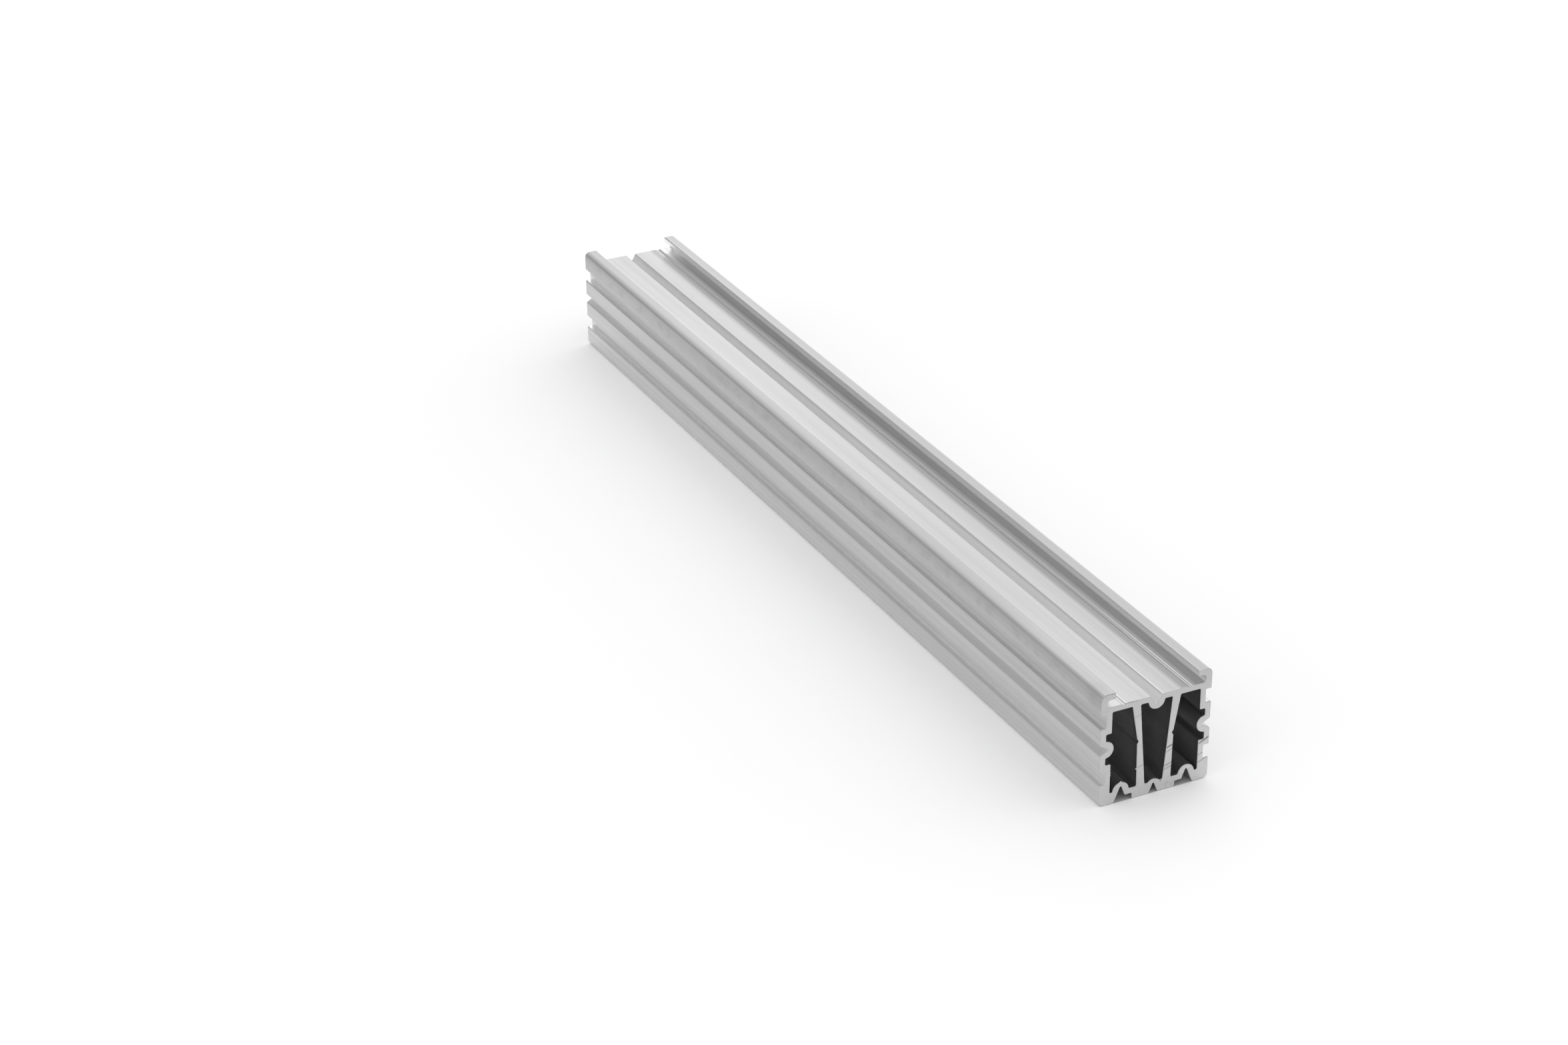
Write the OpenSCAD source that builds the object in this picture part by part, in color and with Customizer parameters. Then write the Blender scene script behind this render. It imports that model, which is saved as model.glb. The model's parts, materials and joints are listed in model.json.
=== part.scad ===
// Aluminium extrusion profile: a sawn length of hollow bar with a lipped channel along its top.
// The bar is one extruded piece. +X runs along it, +Y across it and +Z up.
// The origin is the middle of the base.

/* [Bar] */
// Length of the bar between its two saw cuts
bar_length = 400; // [100:1:2000]
// Width of the section
section_w = 40; // [38:0.5:60]
// Height of the section
section_h = 40; // [38:0.5:60]
// Radius of the four outer corners
corner_r = 2; // [1:0.1:2.5]

/* [Edges] */
// Radius on every other outward edge of the section
edge_r = 0.4; // [0.2:0.05:0.6]
// Radius in the roots of the outside grooves
groove_root_r = 0.3; // [0.1:0.05:0.4]
// Radius in the inside corners of the chambers
chamber_root_r = 0.45; // [0.2:0.05:0.6]

/* [Top channel] */
// Depth of the channel from the top of its lips to its floor
channel_depth = 4.7; // [4.2:0.1:5.5]
// Thickness of each lip
lip_t = 2.15; // [1.5:0.05:2.5]
// How far each lip reaches in over the channel
lip_reach = 2.75; // [2:0.05:4]
// Thickness of the wall beside the channel
channel_wall_t = 2.25; // [1.8:0.05:3]
// Radius where the channel meets its wall, above and below
channel_root_r = 0.9; // [0.4:0.05:1]
// Thickness of the deck under the channel
deck_t = 2; // [1.5:0.1:3]
// Distance of each scribed line from the middle of the channel floor
scribe_offset = 12; // [8:0.5:13]
// Width of a scribed line
scribe_w = 1.55; // [0.8:0.05:2]
// Depth of a scribed line
scribe_depth = 0.44; // [0.2:0.02:0.6]

/* [Sides] */
// Depth of the side grooves, and of the pockets that step the side wall out between them
side_groove_depth = 2; // [1.2:0.1:2.2]
// Thickness of the side wall
side_wall_t = 2; // [1.5:0.1:2.5]
// Height of each side groove
side_groove_h = 4.65; // [3:0.05:5]
// Distance of the upper side groove below the underside of the deck
groove_to_deck = 0.675; // [0.4:0.025:2]
// Distance of the lower side groove above the inside of the base
groove_to_base = 3.725; // [2:0.025:5]
// Thickness of the side wall where it steps from a groove to the pocket
side_step_t = 2.275; // [1.5:0.025:3]

/* [Drill grooves] */
// Angle between the flanks of the drill grooves in the channel floor and the sides
drill_angle = 60; // [50:1:70]
// Width of the drill groove in the channel floor
top_drill_w = 4; // [3:0.1:4.6]
// Width of the drill groove in each side
side_drill_w = 3.6; // [2.6:0.1:4]
// Angle between the flanks of the drill grooves in the base
base_drill_angle = 44; // [40:1:52]
// Width of the outer drill grooves in the base
base_drill_w = 4.8; // [3.6:0.1:5]
// Distance of the outer drill grooves in the base from its middle
base_drill_offset = 12; // [11.5:0.1:12.5]
// Width of the middle drill groove in the base
mid_drill_w = 3.2; // [2.4:0.1:3.6]
// Radius of the round boss that backs each drill groove
boss_r = 3; // [2.6:0.1:3.2]
// Metal left between the root of the top drill groove and its boss
top_boss_cover = 1.75; // [1.2:0.05:2.2]
// Metal left between the root of a side drill groove and its boss
side_boss_cover = 2.05; // [1.4:0.05:2.4]
// Metal left between the root of a base drill groove and its boss
base_boss_cover = 1.55; // [1.2:0.05:2.2]

/* [Base] */
// Thickness of the base
base_t = 4.05; // [3:0.05:5]
// Width of the pad along the middle of the base
base_pad_w = 15.8; // [12:0.1:17]
// Depth of the recess between the pad and each outer drill groove
base_recess_depth = 2; // [1:0.1:2.2]

/* [Webs] */
// Distance between the two webs at the deck
web_head_gap = 11.55; // [9:0.05:12]
// Distance between the two webs at the base
web_foot_gap = 6.45; // [6:0.05:10]
// Thickness of each web at the deck
web_head_t = 3.05; // [2:0.05:3.5]
// Thickness of each web at the side's centre line
web_waist_t = 2; // [1.6:0.05:3]
// Thickness of each web at the base
web_foot_t = 3.1; // [2:0.05:3.5]
// Height of the small notch in the outer face of each web
web_notch_h = 1.7; // [0.8:0.1:2]
// Depth of the small notch in the outer face of each web
web_notch_depth = 0.6; // [0.3:0.05:0.8]

/* [Hidden] */
$fa = 8;
$fs = 0.2;
// How far a cut runs on into the open air
overrun = 1;
// Mill-finish aluminium
mill_finish = [0.78, 0.79, 0.80];

half_w = section_w / 2;
channel_floor_z = section_h - channel_depth;
deck_under_z = channel_floor_z - deck_t;
upper_groove_z = deck_under_z - groove_to_deck - side_groove_h;
lower_groove_z = base_t + groove_to_base;
pocket_bottom_z = lower_groove_z + side_groove_h + side_step_t;
pocket_top_z = upper_groove_z - side_step_t;
side_mid_z = (pocket_bottom_z + pocket_top_z) / 2;
channel_half_w = half_w - channel_wall_t;
mouth_half_w = channel_half_w - lip_reach;
slot_h = channel_depth - lip_t;
// The slot's corners stay just short of a half circle
slot_root_limit = 0.49;
slot_root_r = min(channel_root_r, slot_root_limit * slot_h);
groove_floor_y = half_w - side_groove_depth;
chamber_wall_y = groove_floor_y - side_wall_t;
pocket_wall_y = half_w - side_wall_t;
web_slope = (web_head_gap - web_foot_gap) / 2 / (deck_under_z - base_t);

// Inner face of the right-hand web at a height above the base
function web_inner_y(z) = web_foot_gap / 2 + web_slope * (z - base_t);

// Depth of a drill groove with sharp flanks
function drill_depth(width, angle) = width / 2 / tan(angle / 2);

// Depth of the same groove once its root is rounded
function drill_root(width, angle) =
    drill_depth(width, angle) - groove_root_r * (1 / sin(angle / 2) - 1);

// Rounds the outward corners of a flat shape to one radius and its inward corners to another
module eased(outward_r, inward_r) {
    offset(r = outward_r) offset(delta = -outward_r)
        offset(r = -inward_r) offset(delta = inward_r) children();
}

// A shape on the right-hand half of the section and its mirror image on the left
module both_sides() {
    children();
    mirror([1, 0]) children();
}

// A vee cut down into a face that lies along y = 0
module vee(width, depth) {
    polygon([
        [-width / 2, overrun],
        [-width / 2, 0],
        [0, -depth],
        [width / 2, 0],
        [width / 2, overrun]
    ]);
}

module drill_groove(width, angle) {
    vee(width, drill_depth(width, angle));
}

// The round boss that keeps its cover of metal around the root of a drill groove
module drill_boss(width, angle, cover) {
    translate([0, boss_r - cover - drill_root(width, angle)]) circle(r = boss_r);
}

// Places of the drill grooves, each with its face along y = 0 and its open side up
module at_channel_middle() {
    translate([0, channel_floor_z]) children();
}

module at_side_middle() {
    translate([half_w, side_mid_z]) rotate(-90) children();
}

module at_base(offset_y) {
    translate([offset_y, 0]) mirror([0, 1]) children();
}

// The plain square with its rounded corners
module outline() {
    translate([-half_w, 0])
        offset(r = corner_r) offset(delta = -corner_r) square([section_w, section_h]);
}

// The channel: a mouth between the lips and a wider slot under them
module channel() {
    translate([-mouth_half_w, channel_floor_z])
        square([2 * mouth_half_w, channel_depth + overrun]);
    translate([-channel_half_w, channel_floor_z])
        offset(r = slot_root_r) offset(delta = -slot_root_r)
            square([2 * channel_half_w, slot_h]);
}

// The drill groove and the two scribed lines along the channel floor
module channel_floor_lines() {
    at_channel_middle() {
        drill_groove(top_drill_w, drill_angle);
        both_sides() translate([scribe_offset, 0]) vee(scribe_w, scribe_depth);
    }
}

// The right-hand side's two square grooves and the drill groove midway between them
module side_lines() {
    for (groove_z = [lower_groove_z, upper_groove_z])
        translate([groove_floor_y, groove_z])
            square([side_groove_depth + overrun, side_groove_h]);
    at_side_middle() drill_groove(side_drill_w, drill_angle);
}

// The right-hand half of the base: the recess beside the pad and the outer drill groove
module base_lines() {
    translate([base_pad_w / 2, -overrun])
        square([base_drill_offset - base_pad_w / 2, base_recess_depth + overrun]);
    at_base(base_drill_offset) drill_groove(base_drill_w, base_drill_angle);
}

// Everything that shows from outside the bar, as if it were solid
module outside() {
    eased(edge_r, groove_root_r) difference() {
        outline();
        channel();
        channel_floor_lines();
        both_sides() side_lines();
        both_sides() base_lines();
        at_base(0) drill_groove(mid_drill_w, base_drill_angle);
    }
}

// The space between the two webs
module middle_chamber() {
    polygon([
        [-web_head_gap / 2, deck_under_z],
        [-web_foot_gap / 2, base_t],
        [web_foot_gap / 2, base_t],
        [web_head_gap / 2, deck_under_z]
    ]);
}

// The space between the right-hand web and side, with the pocket in the side and the web's notch
module side_chamber() {
    web_waist_y = web_inner_y(side_mid_z) + web_waist_t;
    polygon([
        [web_head_gap / 2 + web_head_t, deck_under_z],
        [web_waist_y, side_mid_z + web_notch_h / 2],
        [web_waist_y - web_notch_depth, side_mid_z],
        [web_waist_y, side_mid_z - web_notch_h / 2],
        [web_foot_gap / 2 + web_foot_t, base_t],
        [chamber_wall_y, base_t],
        [chamber_wall_y, pocket_bottom_z],
        [pocket_wall_y, pocket_bottom_z],
        [pocket_wall_y, pocket_top_z],
        [chamber_wall_y, pocket_top_z],
        [chamber_wall_y, deck_under_z]
    ]);
}

// The round bosses that back the drill grooves
module bosses() {
    at_channel_middle() drill_boss(top_drill_w, drill_angle, top_boss_cover);
    at_base(0) drill_boss(mid_drill_w, base_drill_angle, base_boss_cover);
    both_sides() {
        at_side_middle() drill_boss(side_drill_w, drill_angle, side_boss_cover);
        at_base(base_drill_offset) drill_boss(base_drill_w, base_drill_angle, base_boss_cover);
    }
}

// The three hollow spaces, shaped around the bosses
module chambers() {
    eased(chamber_root_r, edge_r) difference() {
        union() {
            middle_chamber();
            both_sides() side_chamber();
        }
        bosses();
    }
}

module section() {
    difference() {
        outside();
        chambers();
    }
}

module profile_bar() {
    color(mill_finish)
        rotate([90, 0, 90])
            linear_extrude(height = bar_length, center = true) section();
}

profile_bar();
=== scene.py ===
"""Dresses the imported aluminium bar: die lines along its skin, sawn ends with their rims and burrs,
the mill finish, and the pale stage that it lies on."""
import json
import math

import bpy
import numpy as np
from bpy.props import FloatProperty, FloatVectorProperty, PointerProperty
from mathutils import Matrix, Vector, noise

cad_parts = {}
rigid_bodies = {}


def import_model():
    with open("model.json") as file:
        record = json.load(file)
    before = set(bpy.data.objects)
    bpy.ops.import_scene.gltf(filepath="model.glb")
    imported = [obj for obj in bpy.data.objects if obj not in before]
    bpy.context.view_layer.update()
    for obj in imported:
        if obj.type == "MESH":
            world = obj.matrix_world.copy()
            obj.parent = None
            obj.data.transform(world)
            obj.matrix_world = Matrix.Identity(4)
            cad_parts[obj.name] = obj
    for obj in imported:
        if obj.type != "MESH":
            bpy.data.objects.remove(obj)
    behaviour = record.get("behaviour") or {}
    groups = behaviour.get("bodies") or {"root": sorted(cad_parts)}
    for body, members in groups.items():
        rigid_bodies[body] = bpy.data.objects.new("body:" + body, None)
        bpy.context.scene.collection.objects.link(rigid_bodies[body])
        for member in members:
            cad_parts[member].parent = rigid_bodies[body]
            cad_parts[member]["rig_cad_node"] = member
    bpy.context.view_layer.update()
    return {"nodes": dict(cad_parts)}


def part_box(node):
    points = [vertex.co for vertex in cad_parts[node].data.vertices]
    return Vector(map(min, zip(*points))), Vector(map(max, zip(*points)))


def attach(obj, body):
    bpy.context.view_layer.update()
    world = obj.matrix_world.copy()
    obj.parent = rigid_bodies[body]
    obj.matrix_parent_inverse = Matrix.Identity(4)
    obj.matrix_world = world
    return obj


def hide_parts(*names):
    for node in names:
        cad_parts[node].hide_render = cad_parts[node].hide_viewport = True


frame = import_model()

bl_info = {
    "name": "Sawn extrusion bar",
    "version": (1, 0, 0),
    "blender": (4, 5, 0),
    "location": "3D View > Sidebar > Extrusion",
    "description": "Dresses a sawn length of aluminium extrusion and sets its stage",
    "category": "Object",
}

BAR_NODE = "profile_bar"
BAR_PIECE = "sawn_bar"
BODY = "root"
MM = 0.001

BAR_LOW, BAR_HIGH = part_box(BAR_NODE)
HALF_LENGTH = (BAR_HIGH.x - BAR_LOW.x) / 2
TINY = 0.001 * MM
# How far inside the bar's sides its feet end
FOOT_EDGE = 3 * MM
# Above this the edges belong to the channel, where sliding parts wear them glossy and they are painted
# brighter as a highlight
CHANNEL_LOW = 34 * MM
# Bands of painted highlight and painted shade along the channel: millimetres across, up, half width and half
# height, and change of tone
CHANNEL_PAINTED_LIGHT_BANDS = (
    (9.9, 35.3, 2.2, 0.6, -0.3),
    (12.0, 35.1, 0.9, 0.6, -0.15),
    (13.9, 35.3, 0.8, 0.6, 0.28),
    (1.3, 34.3, 1.6, 2.4, 0.24),
    (15.0, 38.4, 0.6, 1.8, 0.58),
    (17.75, 36.6, 0.8, 1.6, 0.5),
)
# Bands of painted highlight and painted shade along both sides, given in the same way
SIDE_PAINTED_LIGHT_BANDS = (
    (20.0, 36.0, 2.0, 8.0, -0.12),
    (20.0, 38.4, 1.0, 3.0, -0.12),
    (19.15, 39.6, 1.2, 1.2, 0.34),
    (18.0, 30.3, 1.0, 3.0, -0.14),
    (18.0, 29.1, 0.4, 2.2, 0.2),
    (19.3, 27.9, 0.9, 0.5, 0.2),
    (18.4, 28.0, 0.4, 0.45, 0.8),
    (20.0, 28.0, 0.8, 1.3, -0.12),
    (20.0, 25.0, 1.5, 5.0, -0.03),
    (18.8, 19.2, 2.5, 2.2, -0.1),
    (19.3, 7.8, 0.9, 0.5, 0.06),
    (18.4, 7.8, 0.45, 0.5, 0.15),
)

MILL_SLOT, SAWN_SLOT, CHAMBER_SLOT, RIM_SLOT = range(4)

# Values kept on the bar's vertices
OUTWARD = "out_of_the_metal"
SHELTERED = "sheltered"
SAW_SCORE = "saw_score"
RIM_PAINTED_SHADE = "rim_painted_shade"
EDGE_WEAR_AND_SHEEN = "edge_wear_and_sheen"

# Turn of a broken edge from the wall to the cut, where the burrs stand
BURR_ANGLE = math.pi / 2
# Deep saw scores on a cut end: millimetres across the bar, millimetres up it, and strength
SCORES = (
    (5.4, 15.45, 0.8),
    (5.0, 13.8, 0.35),
    (5.0, 8.95, 0.5),
    (4.9, 7.7, 0.35),
    (18.2, 14.3, 0.9),
    (17.7, 9.8, 0.35),
    (17.7, 7.05, 0.45),
    (-6.3, 29.65, 0.2),
    (-5.65, 10.85, 0.3),
)
# Burrs on the rims of the near cut: millimetres across, up, out of the metal, and wide
BURRS = (
    (-6.45, 10.45, 0.8, 0.3),
    (-16, 11.6, 0.25, 0.3),
    (-16, 10.7, 0.3, 0.3),
    (-12.5, 6.95, 0.45, 0.4),
    (-11.9, 7, 0.6, 0.3),
    (-5.3, 26.4, 0.15, 0.2),
    (3.7, 9.95, 0.2, 0.2),
)
# A pit in the near cut, by the floor of the middle chamber, drawn only as its painted shade: its place and
# how far it reaches
PIT = (HALF_LENGTH, 2.6 * MM, 3.65 * MM)
PIT_REACH = 0.5 * MM
# Grime on the near cut, by the base: its place and how far it reaches
GRIME = (HALF_LENGTH, 5.2 * MM, 1.6 * MM)
GRIME_REACH = 4.5 * MM
# Where a thumb has dulled the skin, and how far about
THUMB = (HALF_LENGTH - 5 * MM, BAR_LOW.y, BAR_HIGH.z - 3 * MM)
THUMB_REACH = 8 * MM
# Stretches of the rims with painted shade: millimetres across, up, and how far they reach
SHADED_RIM_STRETCHES = (
    (-17.2, 40, 2.2),
    (-9, 35.3, 2.5),
    (20, 38, 3),
    (20, 27, 4),
    (20, 17, 5),
    (20, 6, 4),
    (18.5, 1.2, 2.5),
)

# Shaping the mesh

# A face of the solid is part of a cut where it points along the bar by more than this
END_FACING = 0.5
# Faces of the solid that meet at less than this are joined
FLAT_ANGLE = math.radians(0.2)
# Depth of the die lines: its middle, and what the fine and the broad lines add to it
LINE_MIDDLE, FINE_SHARE, BROAD_SHARE = 0.5, 0.45, 0.35
# Shelter is looked for along this many rays, which start a little off the skin
SHELTER_RAYS = 17
SHELTER_CLEARANCE = 0.05 * MM
# A ray and a wall that turn from each other by less than this count as turned by this much
PARALLEL = 1e-12
# Bend at which an edge starts to be worn, and how much more bend wears it fully
WEAR_START, WEAR_SPAN = 0.1, 0.25
# Share of the full wear and painted highlight that the roots below the channel get
ROOT_WEAR = 0.4
# How much the lumps along a broken edge change its width
RIM_LUMPINESS = 0.6
# Vertices nearer than this to a saw mark's plane count as on it
CUT_SLACK = TINY / 10
# Usual saw marks: width in pitches, length, and how far apart the patterns of the two cuts lie
TOOTH_WIDTH = 1.4
TOOTH_LENGTH = 20 * MM
CUTS_APART = 5
# Half the width of a deep score with its sloping sides, in pitches
SCORE_HALF_WIDTH = 1.5

# Shading the metal

NOISE_MIDDLE = 0.5
# Contrast 1 stretches the noise of the streaks by this much
STREAK_STRETCH = 2.0
# How softly a smudge's edge fades
SMUDGE_EDGE = 0.22
# Skin further out than this is on one of the sides
SIDE_SKIN = BAR_HIGH.y - 0.5 * MM
# Half the height of the strip along the top of each side that hands have dulled
HANDLED_HALF = 4 * MM
# How deep the tops of the lips reach
LIP_TOP = 0.4 * MM
# Changes of the skin's tone in streaks, patches, marks and nicks, and under a thumb
BROAD_SWING, FINE_SWING = 0.05, 0.045
PATCH_TONE, MARK_TONE, THUMB_TONE, NICK_TONE = -0.012, -0.008, -0.08, 0.06
# Changes of the skin's roughness in streaks and where it is worn bright
MILL_ROUGHNESS_SWING, WORN_GLOSS = 0.03, 0.15
# Height of a nick in fine streaks, and of a fine streak
NICK_HEIGHT = -1.5
MILL_BUMP = 0.001 * MM
# Size of the arcs that the saw's teeth leave on a cut, and their changes of tone, roughness and height
ARC_SIZE = 0.35 * MM
ARC_SWING, ARC_ROUGHNESS_SWING = 0.07, 0.08
ARC_BUMP = 0.004 * MM
# Changes of a cut's tone in smears, specks, grime and the painted shade of the pit
SMEAR_TONE, SPECK_TONE, GRIME_TONE, PIT_PAINTED_SHADE = -0.05, -0.03, -0.22, -0.6
# Lumps on the rims: middle and swing of their painted shade, swing of their roughness, and height
RIM_MIDDLE, RIM_SWING, RIM_ROUGHNESS_SWING = 0.75, 0.25, 0.08
RIM_BUMP = 0.01 * MM
# Chamber walls: swing of their tone and roughness in streaks, darkness of patches, and height of streaks
WALL_SWING, WALL_ROUGHNESS_SWING, WALL_PATCH = 0.08, 0.05, 0.2
WALL_BUMP = 0.002 * MM

# The camera's sensor, in millimetres, and the nearest that it sees
SENSOR_WIDTH = 36.0
CLIP_START = 0.01


def length(name, description, default):
    """A size in metres, shown with its unit."""
    return FloatProperty(
        name=name,
        description=description,
        default=default,
        subtype="DISTANCE",
        unit="LENGTH",
        precision=6,
    )


def place(name, description, default):
    """A point in metres."""
    return FloatVectorProperty(
        name=name, description=description, default=default, size=3, subtype="TRANSLATION", unit="LENGTH"
    )


def turn(name, description, degrees):
    """An angle, given here in degrees."""
    return FloatProperty(
        name=name, description=description, default=math.radians(degrees), subtype="ANGLE", unit="ROTATION"
    )


def share(name, description, default):
    """A plain number from 0 to 1."""
    return FloatProperty(name=name, description=description, default=default, min=0, max=1, subtype="FACTOR")


def colour(name, description, default):
    """A linear colour."""
    return FloatVectorProperty(
        name=name, description=description, default=default, size=3, min=0, max=1, subtype="COLOR"
    )


def grey(level):
    return (level, level, level)


def way(name, description, default):
    """A direction."""
    return FloatVectorProperty(
        name=name, description=description, default=default, size=3, subtype="DIRECTION"
    )


def number(name, description, default):
    return FloatProperty(name=name, description=description, default=default, min=0)


def watts(name, description, default):
    return FloatProperty(name=name, description=description, default=default, min=0, unit="POWER")


class BarProperties(bpy.types.PropertyGroup):
    """Sizes of the bar's fine relief."""

    die_pitch: length("Die line pitch", "Widest strip of skin between two die lines", 0.3 * MM)
    wall_pitch: length("Wall strip", "Widest strip of a chamber's wall", 0.3 * MM)
    die_depth: length("Die line depth", "Deepest die line in the bar's skin", 0.014 * MM)
    fine_line: length("Fine line", "Size of the finest die lines", 0.45 * MM)
    broad_line: length("Broad line", "Size of the broad die lines", 1.9 * MM)
    rim_break: length("Broken edge", "Width of the broken edge round each saw cut", 0.17 * MM)
    rim_lump: length("Rim lumps", "Size of the lumps along a broken edge", 0.8 * MM)
    saw_pitch: length("Saw mark pitch", "Distance between two saw marks on a cut end", 0.22 * MM)
    saw_depth: length("Saw mark depth", "Usual depth of a saw mark", 0.004 * MM)
    score_depth: length("Score depth", "Depth of the few deep scores on a cut end", 0.05 * MM)
    score_reach: length("Score reach", "How far a deep score runs each way", 4 * MM)
    saw_centre_y: length("Saw centre across", "Centre of the saw marks, across the bar", -32 * MM)
    saw_centre_z: length("Saw centre height", "Height of the centre of the saw marks", 118 * MM)
    smooth_angle: turn("Smooth angle", "Edges flatter than this are shaded smooth", 32)


class FinishProperties(bpy.types.PropertyGroup):
    """Colours and gloss of the metal."""

    mill_colour: colour("Mill finish", "Colour of the extruded skin", grey(0.545))
    mill_roughness: share("Mill roughness", "Roughness of the extruded skin", 0.35)
    mill_drawn: share("Drawn gloss", "How much wider the skin's gloss spreads across the die lines", 0.8)
    # Painted highlight on the worn edges, and painted shade on the edges below the channel
    painted_edge_light: share("Worn edges", "How much brighter the worn edges of the skin are", 0.1)
    # Painted shade on the tops of the lips
    lip_top_painted_shade: share("Dulled lips", "How much duller the tops of the lips are", 0.08)
    # Painted bounce light: the skin is painted brighter in the grooves
    painted_groove_light: share("Sheltered gain", "How much brighter the skin stays in the grooves", 0.48)
    # Painted light: the skin is painted brighter down at the base
    painted_low_light: share("Low gain", "How much brighter the skin stays down at the base", 0.22)
    brightest: share("Brightest metal", "Brightest that any part of the skin is", 0.92)
    handled: share("Handled", "How much hands have dulled the sides under the lips", 0.14)
    # Painted shade: the chambers' walls are painted dark, darkest at the mouths, where light still reaches
    # them
    chamber_shade_colour: colour("Chamber walls", "Colour of the chambers' walls", grey(0.105))
    mouth_depth: length("Mouth depth", "How far in the chambers' walls are at their brightest", 16 * MM)
    painted_shade_lift: number("Inside gain", "How much brighter the walls are there than at their mouths", 4.5)
    chamber_roughness: share("Chamber roughness", "Roughness of the chambers' walls", 0.95)
    sawn_colour: colour("Sawn metal", "Colour of the cut ends", grey(0.525))
    # Painted light: the cut ends are painted brighter down at the base
    painted_low_cut_light: share("Low cut gain", "How much brighter the cut ends are down at the base", 0.24)
    sawn_roughness: share("Sawn roughness", "Roughness of the cut ends", 0.44)
    # Painted shade in the deep saw scores
    painted_score_shade: share("Score darkness", "How dark the deep saw scores are", 0.95)
    # Painted shade on some stretches of the rims
    painted_rim_darkness: share("Rim darkness", "How dark the darkest stretches of the rims are", 0.5)


class StageProperties(bpy.types.PropertyGroup):
    """The camera, the lamps and the floor."""

    azimuth: turn("Camera azimuth", "Turn of the camera round the bar, from its left side", 63.909)
    elevation: turn("Camera elevation", "How far the camera looks down", 27.072)
    roll: turn("Camera roll", "Turn of the camera about its own line of sight", -0.5585)
    aim: place("Camera aim", "Point in the middle of the picture", (0.01505, -0.03747, 0.02))
    distance: length("Camera distance", "From the camera to the aim", 1.17961)
    focal_length: FloatProperty(
        name="Focal length", description="Focal length in millimetres", default=77.157, unit="CAMERA"
    )
    floor_size: length("Floor size", "Side of the square floor", 8.0)
    floor_colour: colour("Floor", "Colour of the floor", grey(0.94))
    under_shade: share("Shade under the bar", "How much darker the floor is under the bar", 0.5)
    sky_light: number("Sky light", "Strength of the pale surround", 0.95)
    arch_light: number("Arch light", "Extra strength in an arch across the bar", 0.42)
    back_way: way("Dim back", "Way to the dim part of the surround behind the bar", (-0.8, -0.45, 0.3))
    back_dimming: share("Back dimming", "How much darker the surround is there", 0.55)
    back_spread: number("Back spread", "Higher makes that dim part smaller", 5.0)
    front_way: way("Dim front", "Way to the dim part of the surround before the bar", (0.95, -0.1, 0.15))
    front_dimming: share("Front dimming", "How much darker the surround is there", 0.62)
    front_spread: number("Front spread", "Higher makes that dim part smaller", 3.0)
    soft_way: way("Soft light", "Way to the bright part of the surround", (-0.83, 0.385, 0.404))
    soft_light: number("Soft light strength", "Extra strength of the surround there", 0.85)
    soft_spread: number("Soft light spread", "Higher makes that bright part smaller", 90.0)
    key_place: place("Key lamp", "Place of the large lamp behind the bar", (-1.49, 0.715, 0.536))
    key_aim: place("Key aim", "Point that the large lamp faces", (-0.05, 0, 0.035))
    key_size: length("Key size", "Side of the large lamp", 0.3)
    key_power: watts("Key power", "Power of the large lamp", 0.12)
    edge_place: place("Edge lamp", "Place of the small lamp that lights the edges", (-0.106, 0.0735, 0.315))
    edge_aim: place("Edge aim", "Point that the small lamp faces", (0.2, 0, 0.03))
    edge_size: length("Edge size", "Side of the small lamp", 0.06)
    edge_power: watts("Edge power", "Power of the small lamp", 0.022)


# Working on a mesh


def deselect_all():
    bpy.ops.object.select_all(action="DESELECT")


def edit_mode():
    bpy.ops.object.mode_set(mode="EDIT")


def object_mode():
    bpy.ops.object.mode_set(mode="OBJECT")


def vertex_places(mesh):
    places = np.empty(len(mesh.vertices) * 3)
    mesh.vertices.foreach_get("co", places)
    return places.reshape(-1, 3)


def set_vertex_places(mesh, places):
    mesh.vertices.foreach_set("co", places.ravel())
    mesh.update()


def vertex_normals(mesh):
    normals = np.empty(len(mesh.vertices) * 3)
    mesh.vertex_normals.foreach_get("vector", normals)
    return normals.reshape(-1, 3)


def face_normals(mesh):
    normals = np.empty(len(mesh.polygons) * 3)
    mesh.polygon_normals.foreach_get("vector", normals)
    return normals.reshape(-1, 3)


def edge_ends(mesh):
    ends = np.empty(len(mesh.edges) * 2, dtype=np.int32)
    mesh.edges.foreach_get("vertices", ends)
    return ends.reshape(-1, 2)


def keep_on_vertices(mesh, name, values):
    """Keeps a number on each vertex under a name that the finishes read."""
    mesh.attributes.new(name, "FLOAT", "POINT").data.foreach_set("value", values)


def select_only(mesh, vertices=None, edges=None, faces=None):
    """Selects these vertices, edges or faces, given as masks, and nothing else."""
    for items, mask in ((mesh.vertices, vertices), (mesh.edges, edges), (mesh.polygons, faces)):
        chosen = np.zeros(len(items), dtype=bool) if mask is None else mask
        items.foreach_set("select", chosen)
    mode = (vertices is not None, edges is not None, faces is not None)
    bpy.context.scene.tool_settings.mesh_select_mode = mode


# The bar's mesh


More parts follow.
